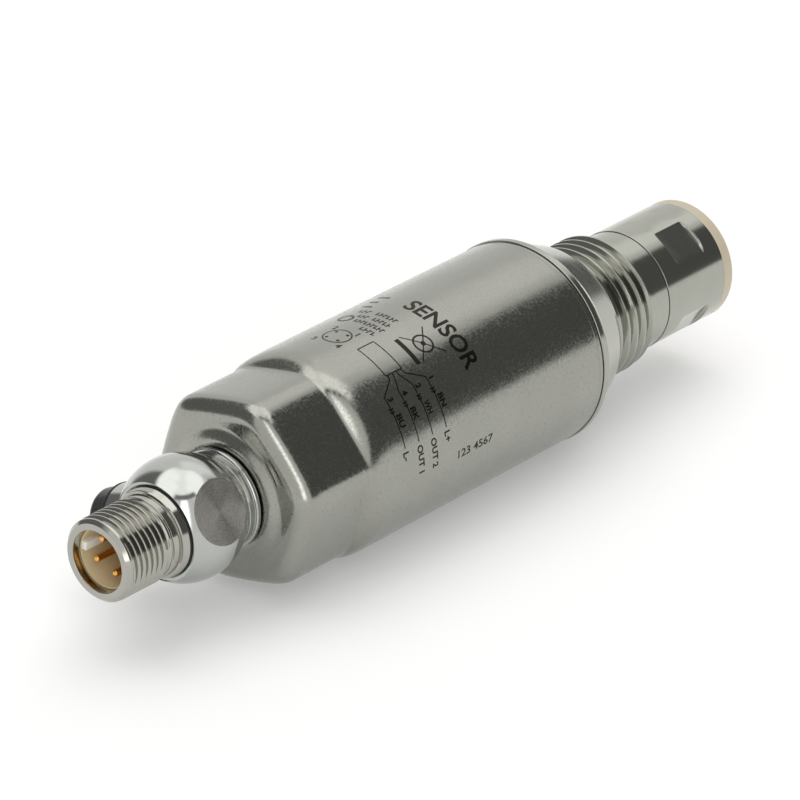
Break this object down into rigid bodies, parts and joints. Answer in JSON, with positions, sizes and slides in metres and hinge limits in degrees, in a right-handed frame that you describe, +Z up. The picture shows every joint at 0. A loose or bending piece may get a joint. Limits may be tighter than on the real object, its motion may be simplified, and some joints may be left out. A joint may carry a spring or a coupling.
{
  "type": "flush-mount pressure transmitter",
  "caption": "Slim stainless steel pressure sensor with a hexagonal end, a threaded process nose and a swivelling ball head with a round plug connector.",
  "frame": {"origin": "on the sensor's axis, at the start of the process thread's first full land", "axes": "+X along the sensor's axis towards the measuring tip, +Z up, -Y the side that carries the marking"},
  "size_m": [0.1259, 0.0308, 0.0308],
  "materials": {
    "housing_steel": "deep-drawn stainless steel, fine satin grain",
    "machined_steel": "lathe-turned stainless steel, fine feed marks",
    "ball_steel": "turned and polished stainless steel",
    "connector_steel": "polished stainless steel thread",
    "spring_steel": "dark spring steel",
    "tip_plastic": "cream high-temperature plastic, lightly turned",
    "cell_ceramic": "fine ground alumina ceramic",
    "seal_rubber": "black rubber",
    "contact_carrier": "beige moulded plastic",
    "contact_gold": "gold-plated brass",
    "board_green": "glass-fibre board with solder resist",
    "chip_black": "moulded chip package",
    "capacitor_can": "bare aluminium can",
    "header_white": "natural nylon",
    "flex_film": "polyimide film",
    "carrier_black": "black moulded plastic",
    "liner_film": "insulating plastic tube",
    "wire_jacket": "wire insulation",
    "vent_plastic": "black moulded plastic",
    "membrane": "white breathable membrane"
  },
  "bodies": {
    "housing": {"housing_shell": "housing_steel", "swivel_bush": "machined_steel", "process_fitting": "machined_steel", "nose_sleeve": "machined_steel", "tip_ring": "tip_plastic", "measuring_cell": "cell_ceramic", "cell_washer": "seal_rubber", "clamp_ring": "spring_steel", "cell_pins": "contact_gold", "cell_board": "board_green", "cell_chip": "chip_black", "flex_lead": "flex_film", "flex_header": "header_white", "main_board": "board_green", "front_carrier": "carrier_black", "rear_carrier": "carrier_black", "insulating_sleeve": "liner_film", "processor_chip": "chip_black", "board_chips": "chip_black", "capacitors": "capacitor_can", "wire_header": "header_white", "signal_wires": "wire_jacket"},
    "connector_head": {"ball_housing": "ball_steel", "rim_gasket": "seal_rubber", "spigot_seal": "seal_rubber", "retaining_ring": "spring_steel", "m12_shell": "connector_steel", "shell_gasket": "seal_rubber", "m12_insert": "contact_carrier", "contact_pin_1": "contact_gold", "contact_pin_2": "contact_gold", "contact_pin_3": "contact_gold", "contact_pin_4": "contact_gold", "contact_board": "board_green", "vent_body": "ball_steel", "vent_gasket": "seal_rubber", "vent_membrane": "membrane", "vent_cap": "vent_plastic"}
  },
  "joints": [
    {"name": "head_swivel", "type": "hinge", "parent": "housing", "child": "connector_head", "pos_m": [-0.0712, 0, 0], "axis": [1, 0, 0], "range_deg": [-165, 165]}
  ]
}
